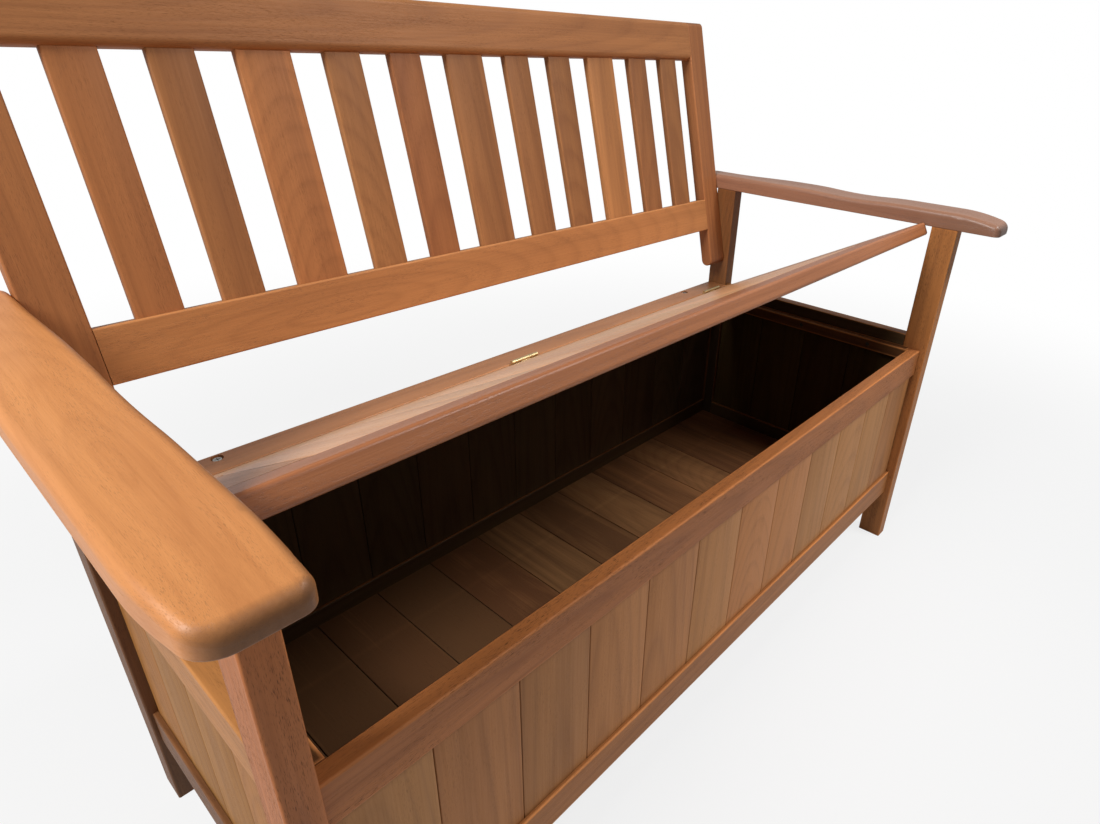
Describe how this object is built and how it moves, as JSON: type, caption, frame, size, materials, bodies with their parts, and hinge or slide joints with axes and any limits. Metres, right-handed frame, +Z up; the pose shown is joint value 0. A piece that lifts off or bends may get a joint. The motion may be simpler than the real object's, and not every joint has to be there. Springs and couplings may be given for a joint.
{
  "type": "garden storage bench",
  "caption": "Wooden garden bench with flat arms and a leaning slatted back; its seat is a hinged lid, partly open, over a boarded storage box.",
  "frame": {"origin": "on the floor, under the middle of the overall outline", "axes": "+X to the sitter's left along the bench, seen from the front to the right; +Y from the front to the back; +Z up"},
  "size_m": [1.2, 0.5938, 0.8617],
  "materials": {
    "wood_arm": "oiled satin hardwood",
    "wood_frame": "oiled satin hardwood",
    "wood_back": "oiled satin hardwood",
    "wood_seat": "oiled satin hardwood",
    "wood_boards": "oiled satin hardwood",
    "hinge_brass": "plain rolled brass",
    "screw_steel": "zinc plated"
  },
  "bodies": {
    "bench": {"arm_left": "wood_arm", "arm_right": "wood_arm", "back_rail_bottom": "wood_back", "back_rail_top": "wood_back", "back_slat_01": "wood_back", "back_slat_02": "wood_back", "back_slat_03": "wood_back", "back_slat_04": "wood_back", "back_slat_05": "wood_back", "back_slat_06": "wood_back", "back_slat_07": "wood_back", "back_slat_08": "wood_back", "back_slat_09": "wood_back", "back_slat_10": "wood_back", "back_slat_11": "wood_back", "back_stile_left": "wood_back", "back_stile_right": "wood_back", "boards_floor": "wood_boards", "boards_front": "wood_boards", "boards_left": "wood_boards", "boards_rear": "wood_boards", "boards_right": "wood_boards", "bolts_back": "screw_steel", "cleat_floor_front": "wood_boards", "cleat_floor_rear": "wood_boards", "cleat_lid_left": "wood_boards", "cleat_lid_right": "wood_boards", "dowels_arms": "wood_boards", "hinge_leaves_seat": "hinge_brass", "hinge_pins": "hinge_brass", "leg_front_left": "wood_frame", "leg_front_right": "wood_frame", "leg_rear_left": "wood_frame", "leg_rear_right": "wood_frame", "nuts_back": "screw_steel", "rail_front_lower": "wood_frame", "rail_front_upper": "wood_frame", "rail_left_lower": "wood_frame", "rail_left_upper": "wood_frame", "rail_rear_lower": "wood_frame", "rail_rear_upper": "wood_frame", "rail_right_lower": "wood_frame", "rail_right_upper": "wood_frame", "screws_floor_cleats": "screw_steel", "screws_hinge_seat": "screw_steel", "screws_lid_cleats": "screw_steel", "screws_seat_board": "screw_steel", "seat_board_rear": "wood_seat"},
    "lid": {"lid_batten": "wood_seat", "lid_boards": "wood_seat", "lid_rail_front": "wood_seat", "lid_rail_left": "wood_seat", "lid_rail_rear": "wood_seat", "lid_rail_right": "wood_seat", "hinge_leaves_lid": "hinge_brass", "screws_hinge_lid": "screw_steel"}
  },
  "joints": [
    {"name": "lid_hinge", "type": "hinge", "parent": "bench", "child": "lid", "pos_m": [0, 0.16561, 0.4083], "axis": [-1, 0, 0], "range_deg": [-28.2, 75.6]}
  ]
}
